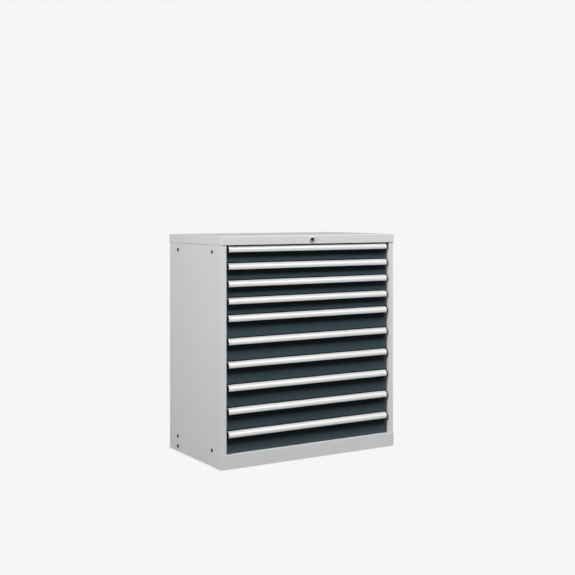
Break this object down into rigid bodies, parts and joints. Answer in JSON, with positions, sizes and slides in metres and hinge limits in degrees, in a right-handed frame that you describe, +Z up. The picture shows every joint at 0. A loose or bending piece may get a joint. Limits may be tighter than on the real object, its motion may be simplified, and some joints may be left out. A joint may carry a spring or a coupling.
{
  "type": "multi-drawer cabinet",
  "caption": "Free-standing steel drawer cabinet: full-width drawers on telescopic runners, extruded grip handles, folded cover with a central lock, plinth rail.",
  "frame": {"origin": "bottom centre of the bounding box, on the floor", "axes": "+Z up, the drawer fronts face -Y and open along -Y, +X is to the right as seen from the front"},
  "size_m": [0.925, 0.527, 1.002],
  "materials": {
    "housing_paint": "light grey powder coat, satin",
    "drawer_paint": "slate grey powder coat, satin",
    "handle_aluminium": "satin anodised",
    "zinc_steel": "bright zinc plate",
    "lock_metal": "satin nickel",
    "lock_black": "black",
    "label_card": "plain white card strip"
  },
  "bodies": {
    "cabinet": {"side_panel_left": "housing_paint", "side_panel_right": "housing_paint", "back_panel": "housing_paint", "top_cover": "housing_paint", "base_rail": "housing_paint", "floor_pan": "housing_paint", "cross_rail": "housing_paint", "upright_front_left": "zinc_steel", "upright_front_right": "zinc_steel", "upright_rear_left": "zinc_steel", "upright_rear_right": "zinc_steel", "cabinet_runners_left": "zinc_steel", "cabinet_runners_right": "zinc_steel", "shaft_bracket": "zinc_steel", "bar_guides": "zinc_steel", "lock_case": "lock_metal", "lock_nut": "lock_metal"},
    "lock": {"lock_plug": "lock_black", "lock_shaft": "zinc_steel"},
    "locking_bar": {"locking_bar": "zinc_steel"},
    "drawer_01": {"drawer_01_tray": "drawer_paint", "drawer_01_handle": "handle_aluminium", "drawer_01_rails": "zinc_steel"},
    "carriage_01": {"drawer_01_carriages": "zinc_steel"},
    "drawer_02": {"drawer_02_tray": "drawer_paint", "drawer_02_handle": "handle_aluminium", "drawer_02_rails": "zinc_steel"},
    "carriage_02": {"drawer_02_carriages": "zinc_steel"},
    "drawer_03": {"drawer_03_tray": "drawer_paint", "drawer_03_handle": "handle_aluminium", "drawer_03_rails": "zinc_steel"},
    "carriage_03": {"drawer_03_carriages": "zinc_steel"},
    "drawer_04": {"drawer_04_tray": "drawer_paint", "drawer_04_handle": "handle_aluminium", "drawer_04_rails": "zinc_steel"},
    "carriage_04": {"drawer_04_carriages": "zinc_steel"},
    "drawer_05": {"drawer_05_tray": "drawer_paint", "drawer_05_handle": "handle_aluminium", "drawer_05_rails": "zinc_steel"},
    "carriage_05": {"drawer_05_carriages": "zinc_steel"},
    "drawer_06": {"drawer_06_tray": "drawer_paint", "drawer_06_handle": "handle_aluminium", "drawer_06_rails": "zinc_steel"},
    "carriage_06": {"drawer_06_carriages": "zinc_steel"},
    "drawer_07": {"drawer_07_tray": "drawer_paint", "drawer_07_handle": "handle_aluminium", "drawer_07_rails": "zinc_steel"},
    "carriage_07": {"drawer_07_carriages": "zinc_steel"},
    "drawer_08": {"drawer_08_tray": "drawer_paint", "drawer_08_handle": "handle_aluminium", "drawer_08_rails": "zinc_steel"},
    "carriage_08": {"drawer_08_carriages": "zinc_steel"},
    "drawer_09": {"drawer_09_tray": "drawer_paint", "drawer_09_handle": "handle_aluminium", "drawer_09_rails": "zinc_steel"},
    "carriage_09": {"drawer_09_carriages": "zinc_steel"},
    "drawer_10": {"drawer_10_tray": "drawer_paint", "drawer_10_handle": "handle_aluminium", "drawer_10_rails": "zinc_steel"},
    "carriage_10": {"drawer_10_carriages": "zinc_steel"}
  },
  "joints": [
    {"name": "drawer_01_slide", "type": "slide", "parent": "cabinet", "child": "drawer_01", "axis": [0, -1, 0], "range_m": [0, 0.43]},
    {"name": "carriage_01_slide", "type": "slide", "parent": "cabinet", "child": "carriage_01", "axis": [0, -1, 0], "range_m": [0, 0.215]},
    {"name": "drawer_02_slide", "type": "slide", "parent": "cabinet", "child": "drawer_02", "axis": [0, -1, 0], "range_m": [0, 0.43]},
    {"name": "carriage_02_slide", "type": "slide", "parent": "cabinet", "child": "carriage_02", "axis": [0, -1, 0], "range_m": [0, 0.215]},
    {"name": "drawer_03_slide", "type": "slide", "parent": "cabinet", "child": "drawer_03", "axis": [0, -1, 0], "range_m": [0, 0.43]},
    {"name": "carriage_03_slide", "type": "slide", "parent": "cabinet", "child": "carriage_03", "axis": [0, -1, 0], "range_m": [0, 0.215]},
    {"name": "drawer_04_slide", "type": "slide", "parent": "cabinet", "child": "drawer_04", "axis": [0, -1, 0], "range_m": [0, 0.43]},
    {"name": "carriage_04_slide", "type": "slide", "parent": "cabinet", "child": "carriage_04", "axis": [0, -1, 0], "range_m": [0, 0.215]},
    {"name": "drawer_05_slide", "type": "slide", "parent": "cabinet", "child": "drawer_05", "axis": [0, -1, 0], "range_m": [0, 0.43]},
    {"name": "carriage_05_slide", "type": "slide", "parent": "cabinet", "child": "carriage_05", "axis": [0, -1, 0], "range_m": [0, 0.215]},
    {"name": "drawer_06_slide", "type": "slide", "parent": "cabinet", "child": "drawer_06", "axis": [0, -1, 0], "range_m": [0, 0.43]},
    {"name": "carriage_06_slide", "type": "slide", "parent": "cabinet", "child": "carriage_06", "axis": [0, -1, 0], "range_m": [0, 0.215]},
    {"name": "drawer_07_slide", "type": "slide", "parent": "cabinet", "child": "drawer_07", "axis": [0, -1, 0], "range_m": [0, 0.43]},
    {"name": "carriage_07_slide", "type": "slide", "parent": "cabinet", "child": "carriage_07", "axis": [0, -1, 0], "range_m": [0, 0.215]},
    {"name": "drawer_08_slide", "type": "slide", "parent": "cabinet", "child": "drawer_08", "axis": [0, -1, 0], "range_m": [0, 0.43]},
    {"name": "carriage_08_slide", "type": "slide", "parent": "cabinet", "child": "carriage_08", "axis": [0, -1, 0], "range_m": [0, 0.215]},
    {"name": "drawer_09_slide", "type": "slide", "parent": "cabinet", "child": "drawer_09", "axis": [0, -1, 0], "range_m": [0, 0.43]},
    {"name": "carriage_09_slide", "type": "slide", "parent": "cabinet", "child": "carriage_09", "axis": [0, -1, 0], "range_m": [0, 0.215]},
    {"name": "drawer_10_slide", "type": "slide", "parent": "cabinet", "child": "drawer_10", "axis": [0, -1, 0], "range_m": [0, 0.43]},
    {"name": "carriage_10_slide", "type": "slide", "parent": "cabinet", "child": "carriage_10", "axis": [0, -1, 0], "range_m": [0, 0.215]},
    {"name": "lock_turn", "type": "hinge", "parent": "cabinet", "child": "lock", "pos_m": [0, -0.2595, 0.9825], "axis": [0, 1, 0], "range_deg": [0, 90]},
    {"name": "locking_bar_slide", "type": "slide", "parent": "cabinet", "child": "locking_bar", "axis": [0, 0, -1], "range_m": [0, 0.01697]}
  ],
  "couplings": [
    {"joint": "carriage_01_slide", "follows": "drawer_01_slide", "ratio": 0.5},
    {"joint": "carriage_02_slide", "follows": "drawer_02_slide", "ratio": 0.5},
    {"joint": "carriage_03_slide", "follows": "drawer_03_slide", "ratio": 0.5},
    {"joint": "carriage_04_slide", "follows": "drawer_04_slide", "ratio": 0.5},
    {"joint": "carriage_05_slide", "follows": "drawer_05_slide", "ratio": 0.5},
    {"joint": "carriage_06_slide", "follows": "drawer_06_slide", "ratio": 0.5},
    {"joint": "carriage_07_slide", "follows": "drawer_07_slide", "ratio": 0.5},
    {"joint": "carriage_08_slide", "follows": "drawer_08_slide", "ratio": 0.5},
    {"joint": "carriage_09_slide", "follows": "drawer_09_slide", "ratio": 0.5},
    {"joint": "carriage_10_slide", "follows": "drawer_10_slide", "ratio": 0.5},
    {"joint": "lock_turn", "follows": "locking_bar_slide", "rad_per_m": 92.56}
  ]
}
